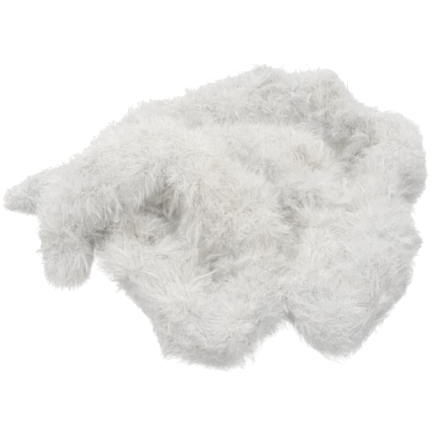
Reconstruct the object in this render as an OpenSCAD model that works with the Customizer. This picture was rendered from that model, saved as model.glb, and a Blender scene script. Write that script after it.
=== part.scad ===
// Feather boa: fluffy plumes tied in bunches along a thin cotton cord.
// It lies in a loose heap on a flat surface, which is Z = 0.
// One end of it sticks out of the heap and can swing sideways over the surface.

/* [Plume bunches] */
// Radius of the packed middle of a full bunch
bunch_r = 26; // [22:0.5:26]
// Radius at a bunch's two end faces, as a share of its middle
waist_share = 0.84; // [0.6:0.02:0.94]
// Free space between the end faces of two neighbours
bunch_gap = 0.8; // [0.6:0.1:1.4]
// How much thinner the thinnest bunch is than the fullest one, as a share
unevenness = 0.05; // [0:0.01:0.05]
// Radius at the tip of the thin end, as a share of the full radius
thin_tip_share = 0.3; // [0.25:0.01:0.34]
// Bunches over which the thin end grows to the full radius
thin_bunches = 3; // [3:1:5]
// Radius at the tip of the blunt end, as a share of the full radius
blunt_tip_share = 0.6; // [0.4:0.05:0.9]

/* [Cord] */
// Diameter of the twisted cotton cord
cord_d = 4; // [3:0.25:4]
// Radius of the way through a bunch that the cord and its thread ties lie in
butt_r = 3.6; // [3.4:0.1:4.2]

/* [Thread] */
// Radial thickness of the thread wound around the cord
thread_wall = 0.9; // [0.5:0.1:1]
// Width of one thread tie along the cord
tie_w = 2; // [1:0.5:4]
// Length of the whipping at each end of the cord
whipping_l = 7; // [4:0.5:8]

/* [Ends] */
// Length of the frayed fibres past the knot
fray_l = 6; // [3:0.5:6]
// Radius of the frayed fibres where they spread
fray_r = 4.2; // [2.5:0.1:5]
// Radius of the cord's loops in the stopper knot
knot_loop_r = 2.1; // [1.2:0.1:2.3]

/* [Swinging end] */
// Space that the swinging end keeps from the hinge axis
swing_gap = 2.5; // [2:0.25:4]
// Space that the cut cord keeps from the hinge axis
cord_gap = 1.5; // [1:0.25:2.5]

/* [Hidden] */
// The cord's route, from the tip of the thin end to the tip of the blunt end.
// One bunch of plumes sits on each span between two points.
route = [
    [-226, 52, 9], [-180, 54, 13], [-138, 69, 18], [-101, 101, 23], [-65, 133, 23],
    [-24, 156, 24], [20, 173, 26], [66, 184, 30], [111, 178, 28], [151, 154, 24],
    [181, 120, 23], [189, 76, 23], [170, 36, 23], [165, -8, 23], [158, -52, 23],
    [152, -95, 23], [124, -117, 23], [96, -97, 23], [98, -51, 23], [105, -5, 23],
    [104, 41, 23], [82, 80, 23], [42, 102, 23], [-2, 97, 23], [-44, 76, 23],
    [-77, 43, 23], [-95, 2, 23], [-83, -42, 23], [-58, -84, 23], [-29, -119, 24],
    [7, -136, 24], [34, -110, 24], [40, -66, 28], [33, -26, 40], [8, 6, 56],
    [-24, 32, 70], [-62, 48, 77], [-104, 38, 75], [-148, 6, 47], [-157, -40, 18]
];
// Brings the middle of the heap's outline to the origin
heap_shift = [6.2, -24.5, 0];
span_count = len(route) - 1;
// How strongly the curve holds its direction at each route point, so that bends come out round
bend_fullness = 1.1;
// The route point where the swinging end is hinged
hinge_at = 2;
// Places of a bunch's rings along its span, and their shares of its radius
ring_places = [0, 0.16, 0.5, 0.84, 1];
middle_ring = 2;
plain_shares = [waist_share, 0.97, 1];
hinge_shares = [0.3, 0.6, 1];
bunch_sides = 12;
cord_sides = 8;
cord_r = cord_d / 2;
// The thread's inside clears the cord by this much
thread_fit = 0.06;
// The stopper knot and the whipping stand this far from the cord's tip
knot_at = fray_l + knot_loop_r * 1.9 + 0.2;
whipping_at = knot_at + knot_loop_r * 1.9 + 0.6;
end_half_span = 0.5;
plume_colour = [0.87, 0.87, 0.84];
cord_colour = [0.80, 0.77, 0.69];
thread_colour = [0.93, 0.92, 0.88];

function bunch_name(k) = str("plume_bunch_", k < 9 ? "0" : "", k + 1);

// ---- The smooth route and the straight chords that the cord is made of ----

function unit(v) = v / norm(v);

// A route point, with one more past each end so that the curve has a direction there
function route_point(i) =
    i < 0 ? 2 * route[0] - route[1]
    : i > span_count ? 2 * route[span_count] - route[span_count - 1]
    : route[i];

// The curve's direction at a route point is that from the point before to the point after
function route_heading(i) = unit(route_point(i + 1) - route_point(i - 1));

// A point on the smooth curve through the route's points; u counts spans
function curve_at(u) =
    let (
        k = max(0, min(floor(u), span_count - 1)),
        t = u - k,
        from = route_point(k),
        to = route_point(k + 1),
        pull = bend_fullness * norm(to - from)
    )
    heap_shift
    + (2 * pow(t, 3) - 3 * pow(t, 2) + 1) * from
    + (pow(t, 3) - 2 * pow(t, 2) + t) * pull * route_heading(k)
    + (3 * pow(t, 2) - 2 * pow(t, 3)) * to
    + (pow(t, 3) - pow(t, 2)) * pull * route_heading(k + 1);

// The same place on the cord, which runs straight between half spans
function chord_at(u) =
    let (
        low = floor(2 * u) / 2,
        share = 2 * (u - low)
    )
    (1 - share) * curve_at(low) + share * curve_at(low + 0.5);

function heading_at(u) = unit(curve_at(u + 0.02) - curve_at(u - 0.02));
function chord_heading(u) =
    let (low = floor(2 * u) / 2)
    unit(curve_at(low + 0.5) - curve_at(low));
function span_length(k) = norm(curve_at(k + 1) - curve_at(k));

// One ring of points, square to the heading, with a flat edge underneath
function ring(centre, heading, r, sides) =
    let (
        across = unit(cross(heading, [0, 0, 1])),
        over = cross(across, heading)
    )
    [for (i = [0 : sides - 1])
        let (angle = 360 * (i + 0.5) / sides)
        centre + r * (cos(angle) * across + sin(angle) * over)];

// What would reach below the surface is pressed flat on it
function on_surface(points) = [for (p = points) [p.x, p.y, max(p.z, 0)]];

// The two triangles between each pair of points of ring a and ring b
function wall(a, b, sides) =
    [for (i = [0 : sides - 1])
        let (j = (i + 1) % sides)
        each [[a + i, b + i, b + j], [a + i, b + j, a + j]]];

function flat_end(first, sides) = [for (i = [0 : sides - 1]) first + i];
function turned(face) = [for (i = [len(face) - 1 : -1 : 0]) face[i]];

// ---- Parts ----

// A solid tube through a list of rings
module swept_rod(rings, sides) {
    last = len(rings) - 1;
    polyhedron(
        points = [for (r = rings) each r],
        faces = concat(
            [for (s = [0 : last - 1]) each wall(s * sides, (s + 1) * sides, sides)],
            [flat_end(0, sides)],
            [turned(flat_end(last * sides, sides))]
        )
    );
}

// A tube with a way through it: the outer rings first, then as many inner rings
module swept_sleeve(outer, inner, sides) {
    last = len(outer) - 1;
    inner_from = len(outer) * sides;
    outer_walls = [for (s = [0 : last - 1])
        each wall(s * sides, (s + 1) * sides, sides)];
    inner_walls = [for (s = [0 : last - 1])
        each wall(inner_from + s * sides, inner_from + (s + 1) * sides, sides)];
    polyhedron(
        points = concat([for (r = outer) each r], [for (r = inner) each r]),
        faces = concat(
            outer_walls,
            [for (f = inner_walls) turned(f)],
            wall(inner_from, 0, sides),
            wall(last * sides, inner_from + last * sides, sides)
        )
    );
}

// Stands the children's Z axis along a heading, at a point
module stand_along(point, heading) {
    translate(point)
        rotate([0, acos(heading.z), atan2(heading.y, heading.x)])
            children();
}

// Radius of the packed plumes at u, with the two tips tapered
function full_radius(u) =
    bunch_r * min(
        1,
        thin_tip_share + (1 - thin_tip_share) * u / thin_bunches,
        blunt_tip_share + (1 - blunt_tip_share) * (span_count - u)
    );

// Every bunch is a little thinner or fuller than the next
function bunch_fullness(k) = 1 - unevenness * (1 + sin(137 * k)) / 2;

// The share of the radius at one of a bunch's rings; it is slimmer beside the hinge
function ring_share(k, j) =
    let (
        edge = min(j, 2 * middle_ring - j),
        by_hinge = (k == hinge_at - 1 && j > middle_ring) || (k == hinge_at && j < middle_ring)
    )
    by_hinge ? hinge_shares[edge] : plain_shares[edge];

// How far an end face stands back from the route point at the end of its span
function face_setback(point_index) = point_index == hinge_at ? swing_gap : bunch_gap / 2;

// Where ring j of bunch k is; the first and last bunches are half as long
function ring_u(k, j) =
    let (
        from = k == 0 ? end_half_span : k + face_setback(k) / span_length(k),
        to = k == span_count - 1 ? span_count - end_half_span
            : k + 1 - face_setback(k + 1) / span_length(k),
        place = ring_places[j],
        u = from + (to - from) * place
    )
    j == middle_ring && k > 0 && k < span_count - 1 ? k + 0.5 : u;

module plume_bunch(k) {
    places = [for (j = [0 : 2 * middle_ring]) ring_u(k, j)];
    outer = [for (j = [0 : 2 * middle_ring])
        let (r = full_radius(places[j]) * bunch_fullness(k) * ring_share(k, j))
        on_surface(ring(curve_at(places[j]), heading_at(places[j]), r, bunch_sides))];
    inner = [for (u = places) ring(chord_at(u), heading_at(u), butt_r, bunch_sides)];
    color(plume_colour)
        swept_sleeve(outer, inner, bunch_sides);
}

// The cord between two places: a ring at each end and one at each half span between
module cord_between(from, to) {
    ends = [from, to];
    halves = [for (h = [ceil(2 * from + 0.01) : floor(2 * to - 0.01)]) h / 2];
    rings = concat(
        [ring(chord_at(from), chord_heading(from), cord_r, cord_sides)],
        [for (u = halves) ring(curve_at(u), heading_at(u), cord_r, cord_sides)],
        [ring(chord_at(to), chord_heading(to), cord_r, cord_sides)]
    );
    color(cord_colour)
        swept_rod(rings, cord_sides);
}

// Distances from a tip, turned into places along the first and last half spans
half_span_l = [
    norm(curve_at(end_half_span) - curve_at(0)),
    norm(curve_at(span_count) - curve_at(span_count - end_half_span))
];
function from_thin_tip(distance) = end_half_span * distance / half_span_l[0];
function from_blunt_tip(distance) = span_count - end_half_span * distance / half_span_l[1];

module core_cord() {
    cord_between(hinge_at + cord_gap / span_length(hinge_at), from_blunt_tip(fray_l));
}

module core_cord_tail() {
    cord_between(from_thin_tip(fray_l), hinge_at - cord_gap / span_length(hinge_at - 1));
}

// A band of thread wound on the cord, from the origin up
module thread_band(width) {
    inner_r = cord_r + thread_fit;
    color(thread_colour)
        difference() {
            cylinder(r = inner_r + thread_wall, h = width, $fn = 32);
            translate([0, 0, -1])
                cylinder(r = inner_r, h = width + 2, $fn = 32);
        }
}

// Each bunch is tied to the cord twice, at a quarter and at three quarters of its span
module tie_at(u) {
    heading = chord_heading(u);
    stand_along(chord_at(u) - heading * tie_w / 2, heading)
        thread_band(tie_w);
}

module thread_ties() {
    for (k = [hinge_at : span_count - 1]) {
        tie_at(k + 0.25);
        if (k < span_count - 1)
            tie_at(k + 0.75);
    }
}

module thread_ties_tail() {
    for (k = [0 : hinge_at - 1]) {
        if (k > 0)
            tie_at(k + 0.25);
        tie_at(k + 0.75);
    }
}

// Everything at a tip of the cord is built from the tip, along the cord
module at_thin_tip(distance) {
    heading = unit(curve_at(end_half_span) - curve_at(0));
    stand_along(curve_at(0) + heading * distance, heading)
        children();
}

module at_blunt_tip(distance) {
    heading = unit(curve_at(span_count - end_half_span) - curve_at(span_count));
    stand_along(curve_at(span_count) + heading * distance, heading)
        children();
}

// Two loops of the cord pulled tight around it
module stopper_knot() {
    loop_centre_r = cord_r + knot_loop_r + 0.15;
    color(cord_colour)
        rotate_extrude($fn = 48)
            for (side = [-1, 1])
                translate([loop_centre_r, side * knot_loop_r * 0.9])
                    circle(r = knot_loop_r, $fn = 32);
}

module frayed_end() {
    color(cord_colour)
        cylinder(r1 = fray_r, r2 = cord_r, h = fray_l, $fn = 32);
}

module whipping_thin_end() {
    at_thin_tip(whipping_at) thread_band(whipping_l);
}

module whipping_blunt_end() {
    at_blunt_tip(whipping_at) thread_band(whipping_l);
}

module knot_thin_end() {
    at_thin_tip(knot_at) stopper_knot();
}

module knot_blunt_end() {
    at_blunt_tip(knot_at) stopper_knot();
}

module frayed_thin_end() {
    at_thin_tip(0) frayed_end();
}

module frayed_blunt_end() {
    at_blunt_tip(0) frayed_end();
}

core_cord();
core_cord_tail();
thread_ties();
thread_ties_tail();
whipping_thin_end();
whipping_blunt_end();
knot_thin_end();
knot_blunt_end();
frayed_thin_end();
frayed_blunt_end();
for (k = [0 : span_count - 1])
    plume_bunch(k);
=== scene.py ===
import math

import bpy
import numpy as np
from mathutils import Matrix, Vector


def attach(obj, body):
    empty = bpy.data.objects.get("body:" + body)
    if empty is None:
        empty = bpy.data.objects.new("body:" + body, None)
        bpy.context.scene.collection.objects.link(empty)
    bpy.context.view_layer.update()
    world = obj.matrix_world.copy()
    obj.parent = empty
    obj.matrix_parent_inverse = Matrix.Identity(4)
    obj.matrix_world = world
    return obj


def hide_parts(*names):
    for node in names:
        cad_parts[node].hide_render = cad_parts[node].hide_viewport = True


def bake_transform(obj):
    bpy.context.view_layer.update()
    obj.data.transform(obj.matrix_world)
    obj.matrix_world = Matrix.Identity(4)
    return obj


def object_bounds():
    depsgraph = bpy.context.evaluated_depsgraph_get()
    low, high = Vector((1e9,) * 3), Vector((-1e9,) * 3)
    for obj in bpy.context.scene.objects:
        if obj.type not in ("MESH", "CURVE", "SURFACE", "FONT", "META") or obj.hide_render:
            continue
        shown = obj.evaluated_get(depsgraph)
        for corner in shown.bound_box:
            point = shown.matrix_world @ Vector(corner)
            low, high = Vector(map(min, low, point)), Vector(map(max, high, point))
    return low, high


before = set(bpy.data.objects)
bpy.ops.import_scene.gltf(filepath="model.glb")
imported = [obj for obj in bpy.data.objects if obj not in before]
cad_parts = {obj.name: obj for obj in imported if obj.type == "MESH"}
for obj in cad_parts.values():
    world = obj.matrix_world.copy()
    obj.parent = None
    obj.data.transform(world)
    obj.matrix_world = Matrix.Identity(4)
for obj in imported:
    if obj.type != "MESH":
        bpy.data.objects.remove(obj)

# A white marabou feather boa, 1.8 m long, lying in a loose heap: plumes of separate barbs on a
# core cord, with the thread ties, and the whipping, knot and fray of each end.

MM = 0.001
CAD_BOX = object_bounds()

# ---- The strand: the cord's route, as in the part's source, in metres ----

ROUTE = np.array([
    (-.226, .052, .009), (-.180, .054, .013), (-.138, .069, .018), (-.101, .101, .023),
    (-.065, .133, .023), (-.024, .156, .024), (.020, .173, .026), (.066, .184, .030),
    (.111, .178, .028), (.151, .154, .024), (.181, .120, .023), (.189, .076, .023),
    (.170, .036, .023), (.165, -.008, .023), (.158, -.052, .023), (.152, -.095, .023),
    (.124, -.117, .023), (.096, -.097, .023), (.098, -.051, .023), (.105, -.005, .023),
    (.104, .041, .023), (.082, .080, .023), (.042, .102, .023), (-.002, .097, .023),
    (-.044, .076, .023), (-.077, .043, .023), (-.095, .002, .023), (-.083, -.042, .023),
    (-.058, -.084, .023), (-.029, -.119, .024), (.007, -.136, .024), (.034, -.110, .024),
    (.040, -.066, .028), (.033, -.026, .040), (.008, .006, .056), (-.024, .032, .070),
    (-.062, .048, .077), (-.104, .038, .075), (-.148, .006, .047), (-.157, -.040, .018),
])
HEAP_SHIFT = np.array((.0062, -.0245, 0))
BEND_FULLNESS = 1.1
SPANS = len(ROUTE) - 1       # one bunch of plumes to each span between two route points
HINGE_AT = 2                 # the route point that the free tail swings about
CORD_D = 4 * MM
THIN_TIP, THIN_BUNCHES = 0.4, 3      # share of the fluff by the thin tip, and bunches until full
BLUNT_TIP = 0.6                      # share of the fluff at the blunt tip
PAST_THIN, PAST_BLUNT = 0.05, 0.4    # spans by which the down reaches past the cord's tips

POINTS = np.vstack([2 * ROUTE[0] - ROUTE[1], ROUTE, 2 * ROUTE[-1] - ROUTE[-2]]) + HEAP_SHIFT
HEADINGS = POINTS[2:] - POINTS[:-2]
HEADINGS /= np.linalg.norm(HEADINGS, axis=1)[:, None]
POINTS = POINTS[1:-1]


def unit(v):
    return v / np.maximum(np.linalg.norm(v, axis=-1, keepdims=True), 1e-12)


def strand(u):
    """Points on the strand's middle line; u counts spans, and runs straight on past both ends."""
    u = np.asarray(u, float)
    inside = np.clip(u, 0, SPANS)
    k = np.minimum(inside.astype(int), SPANS - 1)
    t = (inside - k)[..., None]
    a, b = POINTS[k], POINTS[k + 1]
    pull = BEND_FULLNESS * np.linalg.norm(b - a, axis=-1, keepdims=True)
    on_curve = (
        (2 * t**3 - 3 * t**2 + 1) * a + (t**3 - 2 * t**2 + t) * pull * HEADINGS[k]
        + (3 * t**2 - 2 * t**3) * b + (t**3 - t**2) * pull * HEADINGS[k + 1]
    )
    past = (u - inside)[..., None] * pull
    return on_curve + past * np.where(past > 0, HEADINGS[-1], HEADINGS[0])


def strand_axes(u):
    """The strand's heading, and the directions across and over it."""
    heading = unit(strand(u + 0.02) - strand(u - 0.02))
    across = unit(np.cross(heading, (0, 0, 1)))
    return heading, across, np.cross(across, heading)


SPAN_LENGTH = np.array([
    np.linalg.norm(np.diff(strand(k + np.linspace(0, 1, 17)), axis=0), axis=1).sum()
    for k in range(SPANS)
])


def taper(u):
    """How full the strand is, against its full radius: both tips are slimmer, with round ends."""
    thin = THIN_TIP + (1 - THIN_TIP) * np.maximum(u, 0) / THIN_BUNCHES
    thin = thin * np.clip(0.6 + 0.7 * u, 0.45, 1)     # the last half span comes to a point
    blunt = BLUNT_TIP + (1 - BLUNT_TIP) * np.maximum(SPANS - u, 0)
    over = np.maximum(np.maximum(-u / PAST_THIN, (u - SPANS) / PAST_BLUNT), 0)
    return np.minimum(1, np.minimum(thin, blunt)) * np.sqrt(np.maximum(1 - over**2, 0.02))


# ---- Mesh helpers ----

def new_object(name, verts, quads, materials, material_of=None):
    """A smooth mesh object from arrays of points and four-cornered faces."""
    mesh = bpy.data.meshes.new(name)
    mesh.vertices.add(len(verts))
    mesh.vertices.foreach_set("co", np.asarray(verts, np.float32).ravel())
    mesh.loops.add(quads.size)
    mesh.loops.foreach_set("vertex_index", quads.astype(np.int32).ravel())
    mesh.polygons.add(len(quads))
    mesh.polygons.foreach_set("loop_start", np.arange(0, quads.size, 4, dtype=np.int32))
    mesh.polygons.foreach_set("use_smooth", np.ones(len(quads), bool))
    for m in materials:
        mesh.materials.append(m)
    if material_of is not None:
        mesh.polygons.foreach_set("material_index", material_of.astype(np.int32))
    mesh.update(calc_edges=True)
    mesh.validate()
    obj = bpy.data.objects.new(name, mesh)
    bpy.context.scene.collection.objects.link(obj)
    return obj


def grid_quads(strips, rings, sides, closed):
    """Faces of many strips at once; each strip has rings of points, side by side."""
    around = sides if closed else sides - 1
    s, r, i = np.meshgrid(np.arange(strips), np.arange(rings - 1), np.arange(around), indexing="ij")
    base = (s * rings + r) * sides
    j = (i + 1) % sides
    return np.stack([base + i, base + j, base + sides + j, base + sides + i], -1).reshape(-1, 4)


def tubes(paths, radii, sides):
    """Round tubes along many paths of equal point count: (paths, points, 3)."""
    paths = np.asarray(paths, float)
    heading = unit(np.gradient(paths, axis=1))
    aside = np.where(np.abs(heading[..., 2:]) > 0.9, (1.0, 0, 0), (0, 0, 1.0))
    across = unit(np.cross(heading, aside))
    over = np.cross(across, heading)
    angle = np.arange(sides) * 2 * math.pi / sides
    ring = np.cos(angle)[:, None] * across[:, :, None] + np.sin(angle)[:, None] * over[:, :, None]
    verts = paths[:, :, None] + np.asarray(radii)[..., None, None] * ring
    return verts.reshape(-1, 3), grid_quads(len(paths), paths.shape[1], sides, True)


def set_attribute(obj, name, values):
    attribute = obj.data.attributes.new(name, "FLOAT", "POINT")
    attribute.data.foreach_set("value", np.asarray(values, np.float32).ravel())


def set_uv(obj, uv_of_vertex):
    """The texture layer: a place for each point, repeated at each face corner."""
    layer = obj.data.uv_layers.new(name="OFBake")
    corners = np.empty(len(obj.data.loops), np.int32)
    obj.data.loops.foreach_get("vertex_index", corners)
    layer.data.foreach_set("uv", np.asarray(uv_of_vertex, np.float32)[corners].ravel())


# ---- Materials ----

DENT_PAINTED_SHADE = (0.60, 0.57, 0.50)           # painted shade on down pressed in at the bottom of a dent
# darker and creamier at a barb's root: partly the down's own cream by the quill, partly painted
# shade deep in the fluff
DOWN_ROOT = (0.932, 0.914, 0.866)
DOWN_MIDDLE = (0.967, 0.960, 0.943)
DOWN_TIP = (0.971, 0.968, 0.960)
# along a barb, from 0 to 1: painted shade in the deepest dents, then the root, the middle and the
# tip
DOWN_LENGTHWISE_AND_DENT_SHADE = [(0.0, DENT_PAINTED_SHADE), (0.25, DOWN_ROOT), (0.6, DOWN_MIDDLE), (1.0, DOWN_TIP)]
DOWN_TONES = [                           # from cool to creamy: each plume's own tint at random, mixed with painted light by place, cool where the white surroundings light the heap's outside and creamy as painted shade at its middle
    (0.0, (0.975, 0.982, 0.995)), (0.4, (0.994, 0.994, 0.994)),
    (0.75, (1.0, 0.996, 0.986)), (1.0, (0.995, 0.984, 0.96)),
]
DOWN_SPECKLE = [(0.3, (0.97, 0.97, 0.97)), (0.6, (1, 1, 1))]
SPECKLE_SCALE = 420
LIT_THROUGH = 0.5                        # share of the light that goes through a barb


def new_material(name):
    material = bpy.data.materials.new(name)
    material.use_nodes = True
    nodes = material.node_tree.nodes
    nodes.clear()
    return material, nodes, material.node_tree.links


def ramp_node(nodes, stops):
    """A colour ramp with its (place, colour) stops."""
    ramp = nodes.new("ShaderNodeValToRGB")
    elements = ramp.color_ramp.elements
    while len(elements) < len(stops):
        elements.new(0.5)
    for element, (place, colour) in zip(elements, stops):
        element.position = place
        element.color = (*colour, 1)
    return ramp


def down_material():
    """Marabou down: off-white, a little deeper in colour near the quill, partly the down's own
    cream and partly painted shade deep in the fluff, and lit through.
    """
    material, nodes, links = new_material("marabou_down")
    # the place along each barb, pulled towards 0 in the dents to paint their shade
    along = nodes.new("ShaderNodeAttribute")
    along.attribute_name = "along"
    by_length_and_dent_shade = ramp_node(nodes, DOWN_LENGTHWISE_AND_DENT_SHADE)
    links.new(along.outputs["Fac"], by_length_and_dent_shade.inputs["Fac"])
    tone_and_painted_tint = nodes.new("ShaderNodeAttribute")
    tone_and_painted_tint.attribute_name = "tone_and_painted_tint"
    by_plume_and_painted_tint = ramp_node(nodes, DOWN_TONES)
    links.new(tone_and_painted_tint.outputs["Fac"], by_plume_and_painted_tint.inputs["Fac"])
    place = nodes.new("ShaderNodeTexCoord")
    speckle = nodes.new("ShaderNodeTexNoise")
    speckle.inputs["Scale"].default_value = SPECKLE_SCALE
    speckle.inputs["Detail"].default_value = 3
    links.new(place.outputs["Object"], speckle.inputs["Vector"])
    fine = ramp_node(nodes, DOWN_SPECKLE)
    links.new(speckle.outputs["Fac"], fine.inputs["Fac"])
    colour = by_length_and_dent_shade.outputs["Color"]
    for other in (by_plume_and_painted_tint, fine):
        mix = nodes.new("ShaderNodeMix")
        mix.data_type = "RGBA"
        mix.blend_type = "MULTIPLY"
        mix.inputs["Factor"].default_value = 1
        links.new(colour, mix.inputs["A"])
        links.new(other.outputs["Color"], mix.inputs["B"])
        colour = mix.outputs["Result"]
    surface = nodes.new("ShaderNodeBsdfPrincipled")
    surface.inputs["Roughness"].default_value = 0.85
    surface.inputs["Specular IOR Level"].default_value = 0.15
    surface.inputs["Sheen Weight"].default_value = 0.05
    surface.inputs["Sheen Roughness"].default_value = 0.6
    links.new(colour, surface.inputs["Base Color"])
    through = nodes.new("ShaderNodeBsdfTranslucent")
    links.new(colour, through.inputs["Color"])
    blend = nodes.new("ShaderNodeMixShader")
    blend.inputs["Fac"].default_value = LIT_THROUGH
    links.new(surface.outputs[0], blend.inputs[1])
    links.new(through.outputs[0], blend.inputs[2])
    out = nodes.new("ShaderNodeOutputMaterial")
    links.new(blend.outputs[0], out.inputs["Surface"])
    return material


def noisy_material(name, dark, light, scale, roughness, bump):
    """A Principled material whose colour and bump come from one noise."""
    material, nodes, links = new_material(name)
    place = nodes.new("ShaderNodeTexCoord")
    noise = nodes.new("ShaderNodeTexNoise")
    noise.inputs["Scale"].default_value = scale
    noise.inputs["Detail"].default_value = 5
    links.new(place.outputs["Object"], noise.inputs["Vector"])
    ramp = ramp_node(nodes, [(0.3, dark), (0.7, light)])
    links.new(noise.outputs["Fac"], ramp.inputs["Fac"])
    surface = nodes.new("ShaderNodeBsdfPrincipled")
    surface.inputs["Roughness"].default_value = roughness
    links.new(ramp.outputs["Color"], surface.inputs["Base Color"])
    raised = nodes.new("ShaderNodeBump")
    raised.inputs["Strength"].default_value = bump
    raised.inputs["Distance"].default_value = 0.2 * MM
    links.new(noise.outputs["Fac"], raised.inputs["Height"])
    links.new(raised.outputs["Normal"], surface.inputs["Normal"])
    out = nodes.new("ShaderNodeOutputMaterial")
    links.new(surface.outputs[0], out.inputs["Surface"])
    return material


down = down_material()
quill = noisy_material("quill_horn", (0.78, 0.68, 0.50), (0.90, 0.84, 0.70), 260, 0.35, 0.1)
cotton = noisy_material("twisted_cotton", (0.66, 0.62, 0.52), (0.84, 0.81, 0.73), 900, 0.9, 0.6)
thread = noisy_material("sewing_thread", (0.84, 0.83, 0.78), (0.95, 0.94, 0.91), 1500, 0.6, 0.4)

# ---- Plumes ----

FLUFF_R = 41 * MM            # how far the down stands from the cord, where the strand is full
WIDEST_FLUFF_R = 54 * MM     # and where it spreads into a hollow of the heap
HOLLOW_ACROSS = 150 * MM     # strands closer than this across a hollow fill it with down
HOLLOW_LAP = 4 * MM          # how far the down goes past the middle of a hollow
FACING = 0.82                # cosine within which a direction faces another strand
NEIGHBOUR_SPANS = 1.9        # places on the strand closer than this count as its own
STRAND_OVERLAP = 3 * MM      # how far the down of two strands reaches into each other
PUSHED_BACK = 0.55           # share of any further reach that is taken back
LUMPINESS = 0.13
THIN_END_SPANS = 1.6         # length of the thin end whose down stands to one side
THIN_END_LEAN = 0.4          # how much further it stands to that side
THIN_END_STANDS_TO = 2.3     # angle around the cord to which it stands

PLUMES_A_BUNCH = 18
TUFTS_A_BUNCH = 1550
BARBS_A_TUFT = 10
BARB_POINTS = 4
QUILL_POINTS = 9
QUILL_SIDES = 5
QUILL_SHOWN = 0.86           # share of each quill's curve that is thick enough to show
QUILL_R, QUILL_TAPER = 0.42 * MM, 0.75   # at its butt, and the share lost at its tip
QUILL_LIFT = 1.2 * MM        # least height over the floor
BUTT_R = 2.6 * MM            # from the middle of the cord to the quills' tied butts
TIE_OUT = 0.25               # spans from the middle of a bunch to each of its two ties
LEAN_MM = 24                 # how far plumes lean along the cord
ROOT_WIDTH, BARB_TAPER = 0.5 * MM, 0.35  # of a barb, and the share lost at its tip
WISP_SHARE = 0.2             # tufts that stand out of the rest with their barbs held together
WISP_CURL, MATTED_CURL = 0.15, 0.07      # of a barb's reach
UNYIELDING = 0.1             # share of the tufts that stand up in the dents
BUNCH_LAP = 0.14             # spans by which a bunch's down reaches over its neighbours
MIXED_OVER = 17 * MM         # how far out of its way a tuft goes to another plume
SAG = 0.07                   # of a barb's reach
HEAP_R = 180 * MM            # the down is painted creamier at the heap's middle, as shade, than this far out
FIRST_SEED, FRAY_SEED = 700, 50
GOLDEN_TURN = 0.618034       # of a turn, between each plume and the next
BUNCH_TURN = 0.31            # of a turn, between each bunch and the next
SCATTER = (0.7548777, 0.5698403)     # steps that spread points evenly over a rectangle

# how far the down may stand out past the solids' box
PROUD = 0.015 * (CAD_BOX[1] - CAD_BOX[0]) + Vector((9, 9, 9)) * MM
LOWEST = np.array(CAD_BOX[0] - PROUD)
HIGHEST = np.array(CAD_BOX[1] + PROUD)
LOWEST[2] = 0.2 * MM         # just over the floor
FUZZY_EDGE = 9 * MM          # barbs stop at random within this of the lowest and highest places

SAMPLES_A_SPAN, ANGLE_BINS = 9, 24
samples_u = np.linspace(0, SPANS, SPANS * SAMPLES_A_SPAN + 1)
samples = strand(samples_u)
FAR_AWAY = 9                 # metres, in the place of distances that don't count
POINTS_AT_ONCE = 4000        # so that the table of distances fits in memory

# The fluff's slow waves: height, pace along the strand, phase, and waves around it.
LUMPS = [(0.4, 2.1, 0.4, 2), (0.3, 4.7, 2.2, -3), (0.2, 9.0, 4.1, 5), (0.15, 17.0, 0.4, -8)]


def lumps(u, angle):
    """A slow unevenness of the fluff, about -1 to 1."""
    return sum(
        height * np.sin(along * u + phase + around * angle)
        for height, along, phase, around in LUMPS
    )


# Dents, where the down of the heap is pressed in or parted, and painted darker as shade: place,
# radius, how far it is pressed down, and the share of the way it is pulled in to its cord. Trims,
# where the outline is cut back: place, radius and the share of the way to the cord. Peaks, where a
# lock of down is drawn out: place and radius.
DENTS = [
    (-.047, -.018, .060, .032, .028, .65), (-.064, -.046, .050, .031, .030, .65),
    (-.020, -.112, .036, .028, .030, .05), (-.004, -.106, .038, .036, .036, .08),
    (.016, -.094, .036, .032, .034, .1), (.060, -.080, .040, .030, .036, .2),
    (.066, -.060, .042, .032, .040, .25), (.078, -.040, .042, .030, .034, .2),
    (.093, -.018, .042, .028, .026, .2), (.151, .081, .046, .036, .038, .2),
    (.146, .041, .042, .026, .024, .2), (.070, .150, .050, .024, .020, .2),
    (.123, .139, .046, .026, .022, .2), (.099, .047, .046, .026, .022, .2),
    (.143, -.116, .032, .024, .016, .2), (-.117, -.043, .032, .030, .014, .4),
]
TRIMS = [
    (.210, -.160, .020, .080, .85), (-.106, -.142, .010, .060, .7), (.176, .150, .042, .042, .8),
    (.213, .012, .030, .036, .6), (.050, -.162, .012, .048, .85), (-.098, -.069, .015, .032, .75),
    (.090, .182, .050, .026, .45), (-.030, .150, .040, .030, .35),
]
PEAKS = [
    (.136, .196, .042, .040), (.200, .156, .030, .034), (.228, .042, .030, .030),
    (.224, -.040, .020, .038), (.200, -.108, .016, .036), (-.006, -.182, .012, .036),
    (.108, -.168, .012, .030), (.056, .198, .045, .030), (-.064, .156, .030, .026),
]
LONGEST_PULL = 13 * MM


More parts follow.
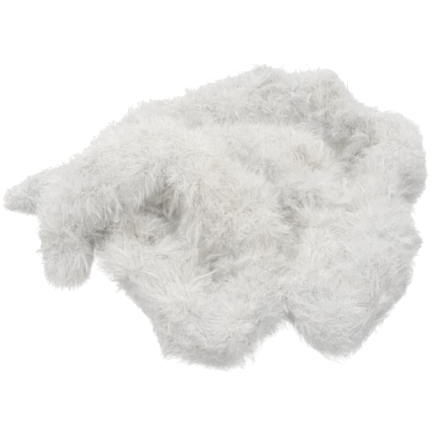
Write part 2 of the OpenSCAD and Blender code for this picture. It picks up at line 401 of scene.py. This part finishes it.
def hollow_table():
    """How far the down may stand out, by place on the strand and angle around it.
    Where another strand faces it across a hollow, the down spreads to fill the space."""
    angle = np.arange(ANGLE_BINS) * 2 * math.pi / ANGLE_BINS
    _, across, over = strand_axes(samples_u)
    way = np.cos(angle)[:, None] * across[:, None] + np.sin(angle)[:, None] * over[:, None]
    between = samples[None] - samples[:, None]
    far = np.linalg.norm(between, axis=2)
    other = np.abs(samples_u[None] - samples_u[:, None]) > 2 * NEIGHBOUR_SPANS
    faces = np.einsum("iak,ijk->iaj", way, between) / np.maximum(far, 1e-6)[:, None]
    gap = np.where((faces > FACING) & other[:, None], far[:, None], FAR_AWAY).min(2)
    radius = np.clip(gap / 2 + HOLLOW_LAP, FLUFF_R, WIDEST_FLUFF_R)
    radius = np.where(gap < HOLLOW_ACROSS, radius, FLUFF_R)
    for _ in range(3):
        radius = (radius + np.roll(radius, 1, 1) + np.roll(radius, -1, 1)) / 3
        radius[1:-1] = (radius[:-2] + radius[1:-1] + radius[2:]) / 3
    return radius


HOLLOWS = hollow_table()


def fluff_radius(u, angle):
    """How far the down stands from the cord, at a place and an angle around it."""
    row = np.clip(np.rint(u * SAMPLES_A_SPAN).astype(int), 0, len(samples_u) - 1)
    column = np.rint(angle / (2 * math.pi) * ANGLE_BINS).astype(int) % ANGLE_BINS
    uneven = 1 + LUMPINESS * lumps(u, angle)
    to_one_side = np.cos(angle - THIN_END_STANDS_TO)
    thin_end = np.clip(THIN_END_SPANS - u, 0, 1) * THIN_END_LEAN * to_one_side
    return HOLLOWS[row, column] * taper(u) * (uneven + thin_end)


def to_world(k, local):
    """From (along, across, over) about the middle of span k to the heap."""
    u = k + 0.5 + local[..., 0] / SPAN_LENGTH[k]
    _, across, over = strand_axes(u)
    return strand(u) + local[..., 1:2] * across + local[..., 2:3] * over, u


def keep_apart(points, u):
    """Pushes down that reaches too far into another strand back towards its own."""
    flat, own_u = points.reshape(-1, 3), u.reshape(-1)
    out = np.empty_like(flat)
    for start in range(0, len(flat), POINTS_AT_ONCE):
        part = slice(start, start + POINTS_AT_ONCE)
        p, pu = flat[part], own_u[part]
        apart = np.linalg.norm(p[:, None] - samples[None], axis=2)
        own = np.abs(samples_u[None] - pu[:, None]) < NEIGHBOUR_SPANS
        to_own = np.where(own, apart, FAR_AWAY).min(1)
        others = np.where(own, FAR_AWAY, apart)
        nearest = others.argmin(1)
        to_other = others[np.arange(len(p)), nearest]
        too_far = np.maximum(0, to_own - to_other - STRAND_OVERLAP)
        away = unit(p - samples[nearest])
        out[part] = p + away * (PUSHED_BACK * too_far)[:, None]
    return out.reshape(points.shape)


def nearness(points, place, r):
    """1 at a place, and 0 from r away."""
    near = np.clip(1 - np.linalg.norm(points - place, axis=-1, keepdims=True) / r, 0, 1)
    return near * (2 - near)


def dressed(points, u, give):
    """Down pressed in at the dents, cut back at the trims and drawn out at the peaks, and how far
    into a dent it lies, which sets the painted shade of the dents; give is how much each barb
    yields."""
    middle = strand(u)
    dent_shade = 0
    for *place, r, down_by, pull in DENTS:
        near = nearness(points, place, r) * give
        points = points + (middle - points) * pull * near - (0, 0, down_by) * near
        # the mask of painted shade in the dents
        dent_shade = np.maximum(dent_shade, near)
    for *place, r, pull in TRIMS:
        near = nearness(points, place, r) * (0.55 + 0.45 * give)
        points = points + (middle - points) * pull * near
    for *place, r in PEAKS:
        pull = (place - points) * 0.85 * nearness(points, place, r) * (0.3 + 0.7 * give)
        far = np.linalg.norm(pull, axis=-1, keepdims=True)
        points = points + pull / np.maximum(1, far / LONGEST_PULL)
    return points, dent_shade


def bezier(a, b, c, t):
    """Points along many curves from a to c, pulled towards b."""
    t = t[:, None]
    a, b, c = a[..., None, :], b[..., None, :], c[..., None, :]
    return (1 - t)**2 * a + 2 * t * (1 - t) * b + t**2 * c


def tie_plumes(k, rng):
    """Where the plumes of a bunch are tied on and which way they lean, as the start, pull and
    tip of each quill's curve, in (along, across, over) about the middle of span k."""
    plumes, length = PLUMES_A_BUNCH, SPAN_LENGTH[k]
    order = np.arange(plumes)
    angle = 2 * math.pi * (order * GOLDEN_TURN + rng.uniform(-0.03, 0.03, plumes) + BUNCH_TURN * k)
    tied = np.where(order % 2 == 0, -TIE_OUT, TIE_OUT) + rng.uniform(-0.1, 0.1, plumes)
    lean = rng.uniform(-0.5, 0.75, plumes) * LEAN_MM * MM
    # at both tips of the boa the plumes lean outwards, over the knot
    if k == 0:
        tied = rng.uniform(0.05, 0.4, plumes)
        lean = rng.uniform(-38, 6, plumes) * MM
    if k == SPANS - 1:
        tied = rng.uniform(-0.4, -0.05, plumes)
        lean = rng.uniform(-6, 52, plumes) * MM
    reach = fluff_radius(k + 0.5 + tied + lean / length, angle) * rng.uniform(0.5, 0.78, plumes)
    swing = rng.uniform(-0.35, 0.35, plumes)

    def control(along, angle, r):
        return np.stack([along, r * np.cos(angle), r * np.sin(angle)], -1)

    return (
        control(tied * length, angle, BUTT_R),
        control(tied * length + 0.75 * lean, angle, 0.35 * reach),
        control(tied * length + lean, angle + swing, reach),
    )


def scatter_tufts(k, rng):
    """The tips of a bunch's tufts, spread evenly over the outside of the fluff, and which of
    them are wisps."""
    order = np.arange(TUFTS_A_BUNCH)
    low = -PAST_THIN if k == 0 else k - BUNCH_LAP
    high = SPANS + PAST_BLUNT if k == SPANS - 1 else k + 1 + BUNCH_LAP
    u = low + (high - low) * ((0.5 + SCATTER[0] * order) % 1)
    angle = 2 * math.pi * ((0.5 + SCATTER[1] * order) % 1) - math.pi
    # down that faces out of the heap stands free, and the rest lies matted
    _, across, over = strand_axes(u)
    way = np.cos(angle)[:, None] * across + np.sin(angle)[:, None] * over
    free = np.clip((way[:, :2] * unit(strand(u)[:, :2])).sum(1), 0, 1)
    wisp = rng.uniform(0, 1, len(u)) < WISP_SHARE * (0.5 + 0.5 * free)
    tip_r = fluff_radius(u, angle) * np.where(
        wisp, rng.uniform(0.98, 1.26, len(u)), rng.uniform(0.85, 0.97, len(u))
    )
    along = (u - k - 0.5) * SPAN_LENGTH[k]
    return np.stack([along, tip_r * np.cos(angle), tip_r * np.sin(angle)], -1), wisp


def root_barbs(quills, tip, rng):
    """The plume that each tuft grows from, which is a near one, and where its barbs start,
    a little way back along the quill."""
    count = len(tip)
    places = np.linspace(0.2, 1, QUILL_POINTS)
    far = np.linalg.norm(tip[:, None, None] - bezier(*quills, places)[None], axis=-1)
    far = far + rng.uniform(0, MIXED_OVER, (count, PLUMES_A_BUNCH))[..., None]
    nearest = far.reshape(count, -1).argmin(1)
    plume_of = nearest // QUILL_POINTS
    s = places[nearest % QUILL_POINTS] - rng.uniform(0.12, 0.5, count)
    s = s[:, None] + rng.normal(0, 0.035, (count, BARBS_A_TUFT))
    s = np.clip(s, 0.05, 0.98)[..., None]
    a, b, c = (q[plume_of][:, None] for q in quills)
    return plume_of, (1 - s)**2 * a + 2 * s * (1 - s) * b + s**2 * c


def reach_out(b0, tip, wisp, rng):
    """The pull and the end of each barb's curve: the barbs of a tuft start side by side at b0
    and meet loosely at its tip."""
    base = b0.mean(1)
    barb = np.linalg.norm(tip - base, axis=1)
    outward = unit(base * (0, 1, 1))
    curl = rng.normal(0, 1, (len(tip), 3)) * np.where(wisp, WISP_CURL, MATTED_CURL)[:, None]
    # each tuft bows outwards a little, and the barbs of a wisp end closer together
    middle = 0.5 * (base + tip) + (0.12 * outward + curl) * barb[:, None]
    spread = np.where(wisp, 0.06 * barb + 0.7 * MM, 0.17 * barb + 2.2 * MM)[:, None, None]
    share = rng.uniform(0.92, 1.02, b0.shape[:2])[..., None]
    b1 = middle[:, None] + 0.6 * (b0 - base[:, None]) + rng.normal(0, 0.8, b0.shape) * spread
    stray = rng.normal(0, 1, b0.shape) * spread
    # the tips stray sideways more than in and out
    tip_outward = unit(tip * (0, 1, 1))[:, None]
    stray -= 0.75 * (stray * tip_outward).sum(-1, keepdims=True) * tip_outward
    return b1, base[:, None] + (tip - base)[:, None] * share + stray


def lay_in_heap(k, controls, rng):
    """The barbs' curves in the heap, kept out of other strands, dressed, sagging, and inside the
    box and above the floor, and how far into a dent each barb lies, for the painted shade of the
    dents."""
    (w0, u0), (w1, u1), (w2, u2) = (to_world(k, b) for b in controls)
    each_tuft, each_barb = (len(w0), 1, 1), w0.shape[:2]
    give = rng.uniform(0.5, 1, each_tuft) * (rng.uniform(0, 1, each_tuft) > UNYIELDING)
    w0, _ = dressed(w0, u0, give)
    w1, dent_shade = dressed(keep_apart(w1, u1), u1, give)
    w2, dent_shade_tip = dressed(keep_apart(w2, u2), u2, give)
    sag = np.linalg.norm(w2 - w0, axis=-1) * SAG
    w2[..., 2] -= sag
    w1[..., 2] -= 0.3 * sag
    inset = rng.uniform(0, FUZZY_EDGE, (*each_barb, 1))
    w1, w2 = (np.clip(w, LOWEST + inset, HIGHEST - inset) for w in (w1, w2))
    floor_lift = rng.uniform(0.3, 2.5, each_barb) * MM
    for w in (w0, w1, w2):
        w[..., 2] = np.maximum(w[..., 2], floor_lift)
    return (w0, w1, w2), np.maximum(dent_shade, dent_shade_tip)


def ribbons_along(k, b0, curves, times, rng):
    """Thin ribbons along the barbs, their flat sides turned roughly away from the cord."""
    lines = bezier(*curves, times)
    heading = unit(np.gradient(lines, axis=-2))
    on_cord, _ = to_world(k, b0 * (1, 0, 0))
    facing = unit(lines - on_cord[..., None, :])
    facing = facing + rng.normal(0, 0.45, (*b0.shape[:2], 1, 3))
    aside = unit(np.cross(heading, facing))
    width = ROOT_WIDTH * rng.uniform(0.65, 1.2, b0.shape[:2])[..., None]
    width = width * (1 - BARB_TAPER * times**2)
    half = 0.5 * width[..., None] * aside
    return np.stack([lines - half, lines + half], -2)


def barbs_of_bunch(k, quills, rng):
    """The ribbons of a bunch's barbs, (barbs, points, 2, 3), and for each of their points the
    plume's own tint mixed with the heap's painted tint, the place in the colour ramp, with the
    painted shade of the dents, and the place in the texture."""
    tip, wisp = scatter_tufts(k, rng)
    plume_of, b0 = root_barbs(quills, tip, rng)
    b1, b2 = reach_out(b0, tip, wisp, rng)
    curves, dent_shade = lay_in_heap(k, (b0, b1, b2), rng)
    times = np.linspace(0, 1, BARB_POINTS)
    ribbons = ribbons_along(k, b0, curves, times, rng)
    # half of each plume's tint is its own, at random, and half is painted tint by place: creamy as
    # painted shade at the heap's middle, cool as painted light at its outside
    from_middle = np.linalg.norm(strand(k + 0.5)[:2])
    tone_and_painted_tint = 0.5 * rng.uniform(0, 1, PLUMES_A_BUNCH) + 0.5 * max(0, 1 - from_middle / HEAP_R)
    tone_and_painted_tint = np.repeat(tone_and_painted_tint[plume_of], BARBS_A_TUFT * BARB_POINTS * 2)
    # the ramp's colours run from 0, painted shade in the deepest dents, over 0.25 at a free root,
    # to 1 at a tip
    along = np.broadcast_to(times[:, None], ribbons.shape[:-1])
    colour_place = (0.25 + 0.75 * along) * (1 - np.minimum(1.25 * dent_shade, 0.95)[..., None])
    column = np.broadcast_to(plume_of[:, None, None, None], along.shape)
    side = np.broadcast_to(np.array([-0.3, 0.3]), along.shape)
    uv = np.stack([(column + 0.5 + side) / (PLUMES_A_BUNCH + 1), 0.02 + 0.96 * along], -1)
    return ribbons.reshape(-1, BARB_POINTS, 2, 3), tone_and_painted_tint, colour_place.ravel(), uv.reshape(-1, 2)


def quills_of_bunch(k, quills):
    """The lines and radii of a bunch's quills, in the heap."""
    w0, _ = to_world(k, quills[0])
    w1, w2 = (dressed(*to_world(k, q), 1)[0] for q in quills[1:])
    times = np.linspace(0, QUILL_SHOWN, QUILL_POINTS)
    lines = bezier(w0, w1, w2, times)
    lines[..., 2] = np.maximum(lines[..., 2], QUILL_LIFT)
    return lines, np.broadcast_to(QUILL_R * (1 - QUILL_TAPER * times), lines.shape[:2])


def make_bunch(k):
    """One bunch of plumes: its barbs and quills, in one piece."""
    rng = np.random.default_rng(FIRST_SEED + k)
    quills = tie_plumes(k, rng)
    barbs, tone_and_painted_tint, colour_place, barb_uv = barbs_of_bunch(k, quills, rng)
    lines, radii = quills_of_bunch(k, quills)
    barb_verts = barbs.reshape(-1, 3)
    barb_quads = grid_quads(len(barbs), BARB_POINTS, 2, False)
    quill_verts, quill_quads = tubes(lines, radii, QUILL_SIDES)
    verts = np.clip(np.concatenate([barb_verts, quill_verts]), LOWEST, HIGHEST)
    quads = np.concatenate([barb_quads, quill_quads + len(barb_verts)])
    is_quill = np.arange(len(quads)) >= len(barb_quads)
    obj = new_object(f"plumes_{k + 1:02d}", verts, quads, [down, quill], is_quill)
    quill_along = np.tile(np.repeat(np.linspace(0, 1, QUILL_POINTS), QUILL_SIDES), len(lines))
    quill_column = np.full(len(quill_verts), (PLUMES_A_BUNCH + 0.5) / (PLUMES_A_BUNCH + 1))
    set_attribute(obj, "tone_and_painted_tint", np.concatenate([tone_and_painted_tint, np.full(len(quill_verts), 0.5)]))
    set_attribute(obj, "along", np.concatenate([colour_place, quill_along]))
    set_uv(obj, np.concatenate([barb_uv, np.stack([quill_column, quill_along], -1)]))
    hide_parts(f"plume_bunch_{k + 1:02d}")
    return obj


for k in range(SPANS):
    bunch = make_bunch(k)
    if k in (HINGE_AT - 1, HINGE_AT):
        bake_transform(bunch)
    else:
        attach(bunch, "tail" if k < HINGE_AT else "heap")

# ---- Cord, thread and ends ----

PLY_R = 1.05 * MM            # of one ply; two of them reach the cord's full diameter
PLY_TURN = 9 * MM            # length of cord in which its two plies turn once
CORD_STEP = 1.4 * MM
THREAD_R = 0.24 * MM
TIE_L = 2 * MM               # length of cord under each tie
KNOT_AT, WHIPPING_AT, WHIPPING_L = 10.2 * MM, 14.8 * MM, 7 * MM     # from the cord's tip
KNOT_STRAND_R, KNOT_SCALE = 1.35 * MM, 1.15 * MM
FRAY_L, FRAY_FIBRES, FRAY_FIBRE_R = 6 * MM, 46, 0.14 * MM


def dense_line(u0, u1, step):
    """Points an equal step apart on the strand's line."""
    u = np.linspace(u0, u1, 4000)
    line = strand(u)
    s = np.concatenate([[0], np.cumsum(np.linalg.norm(np.diff(line, axis=0), axis=1))])
    even = np.linspace(0, s[-1], max(2, int(s[-1] / step)))
    return np.interp(even, s, u), even


def helix_about(u, s, r, turn, phase):
    """A line wound around the strand's middle line."""
    _, across, over = strand_axes(u)
    angle = (2 * math.pi * s / turn + phase)[:, None]
    return strand(u) + r * (np.cos(angle) * across + np.sin(angle) * over)


def make_cord():
    """The two twisted plies of the cord, from one knot's frayed end to the other's."""
    thin_tip = FRAY_L / SPAN_LENGTH[0]
    blunt_tip = SPANS - FRAY_L / SPAN_LENGTH[-1]
    u, s = dense_line(thin_tip, blunt_tip, CORD_STEP)
    plies = [helix_about(u, s, CORD_D / 2 - PLY_R, PLY_TURN, phase) for phase in (0, math.pi)]
    verts, quads = tubes(plies, np.full((2, len(u)), PLY_R), 8)
    cord = new_object("core_cord_twisted", verts, quads, [cotton])
    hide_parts("core_cord", "core_cord_tail")
    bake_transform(cord)


def winding(u, width):
    """Thread wound around the cord for a width along it, centred on u."""
    k = min(int(u), SPANS - 1)
    turns = width / (2 * THREAD_R)
    count = int(turns * 12) + 1
    s = np.linspace(-width / 2, width / 2, count)
    return helix_about(u + s / SPAN_LENGTH[k], s, CORD_D / 2 + THREAD_R * 0.8, 2 * THREAD_R, 0)


def make_ties(name, places, body, node):
    """The thread ties at these places on the strand, as one piece of separate windings."""
    windings = [winding(u, TIE_L) for u in places]
    verts, quads = tubes(windings, THREAD_R * np.ones((len(places), 1)), 5)
    obj = new_object(name, verts, quads, [thread])
    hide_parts(node)
    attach(obj, body)


TIE_PLACES = [k + q for k in range(SPANS) for q in (0.5 - TIE_OUT, 0.5 + TIE_OUT)][1:-1]
make_cord()
make_ties("ties_of_heap", [u for u in TIE_PLACES if u > HINGE_AT], "heap", "thread_ties")
make_ties("ties_of_tail", [u for u in TIE_PLACES if u < HINGE_AT], "tail", "thread_ties_tail")


def make_end(end, body, tip_u, inward):
    """The whipping, knot and frayed fibres at one tip of the cord."""
    k = 0 if tip_u == 0 else SPANS - 1
    per_metre = inward / SPAN_LENGTH[k]
    whip = winding(tip_u + per_metre * (WHIPPING_AT + WHIPPING_L / 2), WHIPPING_L)
    verts, quads = tubes([whip], THREAD_R * np.ones((1, 1)), 6)
    whipping = new_object(f"whipping_of_{end}_end", verts, quads, [thread])
    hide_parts(f"whipping_{end}_end")

    heading, across, over = strand_axes(np.array(tip_u + per_metre * KNOT_AT))
    t = np.linspace(0, 2 * math.pi, 121)
    trefoil = np.stack([
        np.sin(t) + 2 * np.sin(2 * t), np.cos(t) - 2 * np.cos(2 * t), -1.3 * np.sin(3 * t),
    ], -1)
    knot_line = KNOT_SCALE * trefoil @ np.stack([across, over, heading])
    knot_line = strand(tip_u + per_metre * KNOT_AT) + knot_line
    verts, quads = tubes([knot_line], KNOT_STRAND_R * np.ones((1, 1)), 10)
    knot = new_object(f"knot_of_{end}_end", verts, quads, [cotton])
    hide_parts(f"knot_{end}_end")

    rng = np.random.default_rng(FRAY_SEED + k)
    spread = rng.normal(0, 1, (FRAY_FIBRES, 2))
    spread *= (rng.uniform(0.2, 1, FRAY_FIBRES) / np.linalg.norm(spread, axis=1))[:, None]
    t = np.linspace(0, 1, 7)[None, :, None]
    sideways = (spread[:, None] * (1.5 + 2.6 * t**1.6) * MM) @ np.stack([across, over])
    lines = strand(tip_u + per_metre * FRAY_L) - inward * heading * t * FRAY_L + sideways
    lines[..., 2] = np.maximum(lines[..., 2], 0.5 * MM)
    verts, quads = tubes(lines, FRAY_FIBRE_R * np.ones((FRAY_FIBRES, 1)), 4)
    fray = new_object(f"fray_of_{end}_end", verts, quads, [cotton])
    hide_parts(f"frayed_{end}_end")
    for obj in (whipping, knot, fray):
        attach(obj, body)


make_end("thin", "tail", 0, 1)
make_end("blunt", "heap", SPANS, -1)

# ---- Floor, light and camera ----

TARGET = Vector((0.0045, -0.0245, 0.045))
CAMERA_DISTANCE, CAMERA_TILT = 1.9, math.radians(50)
CAMERA_LENS, CAMERA_SENSOR = 150, 36     # in millimetres, as Blender takes them
FLOOR_SIZE, FLOOR_DROP = 14, 0.2 * MM
PAPER_COLOUR, PAPER_GLOW = (0.9, 0.9, 0.9, 1), 0.65
SKY_COLOUR, SKY_STRENGTH = (0.99, 0.985, 0.992, 1), 0.5
PICTURE_GAMMA = 1.5          # the pale, high-key look of a catalogue picture of white goods
BOUNCES, DOWN_BOUNCES = 32, 24       # light goes through many barbs before it leaves the down


def aim(obj, at):
    """Turns a camera or a light towards a place."""
    obj.rotation_euler = (at - obj.location).to_track_quat("-Z", "Y").to_euler()


def make_camera():
    """The photograph's view: from the front, and from well above the table."""
    camera = bpy.data.objects.new("camera", bpy.data.cameras.new("camera"))
    bpy.context.scene.collection.objects.link(camera)
    back = Vector((0, -math.cos(CAMERA_TILT), math.sin(CAMERA_TILT)))
    camera.location = TARGET + CAMERA_DISTANCE * back
    camera.data.lens = CAMERA_LENS
    camera.data.sensor_width = CAMERA_SENSOR
    aim(camera, TARGET)
    bpy.context.scene.camera = camera


def make_floor():
    """White paper that is bright to the camera, and doesn't light the down from below."""
    material, nodes, links = new_material("white_paper")
    paper = nodes.new("ShaderNodeBsdfDiffuse")
    paper.inputs["Color"].default_value = PAPER_COLOUR
    glow = nodes.new("ShaderNodeEmission")
    glow.inputs["Strength"].default_value = PAPER_GLOW
    both = nodes.new("ShaderNodeAddShader")
    links.new(paper.outputs[0], both.inputs[0])
    links.new(glow.outputs[0], both.inputs[1])
    out = nodes.new("ShaderNodeOutputMaterial")
    links.new(both.outputs[0], out.inputs["Surface"])
    bpy.ops.mesh.primitive_plane_add(size=FLOOR_SIZE, location=(0, 0, -FLOOR_DROP))
    floor = bpy.context.object
    floor.name = "floor"
    floor.data.materials.append(material)
    floor.visible_diffuse = False
    floor.visible_transmission = False


def make_light(name, size, energy, place, colour=(1, 1, 1)):
    """A square area light, aimed at the heap."""
    light = bpy.data.objects.new(name, bpy.data.lights.new(name, "AREA"))
    bpy.context.scene.collection.objects.link(light)
    light.data.size = size
    light.data.energy = energy
    light.data.color = colour
    light.location = place
    aim(light, TARGET)


def make_sky():
    world = bpy.data.worlds.new("soft_white")
    world.use_nodes = True
    background = world.node_tree.nodes["Background"]
    background.inputs["Color"].default_value = SKY_COLOUR
    background.inputs["Strength"].default_value = SKY_STRENGTH
    bpy.context.scene.world = world


make_camera()
make_floor()
make_sky()
make_light("softbox", size=2.6, energy=30.5, place=(0, 0.3, 1.7))
make_light("key", size=1.2, energy=6, place=(-0.7, -0.6, 1.7), colour=(1, 0.985, 0.955))
bpy.context.scene.view_settings.view_transform = "Standard"
bpy.context.scene.view_settings.gamma = PICTURE_GAMMA
bpy.context.scene.cycles.max_bounces = BOUNCES
bpy.context.scene.cycles.diffuse_bounces = DOWN_BOUNCES
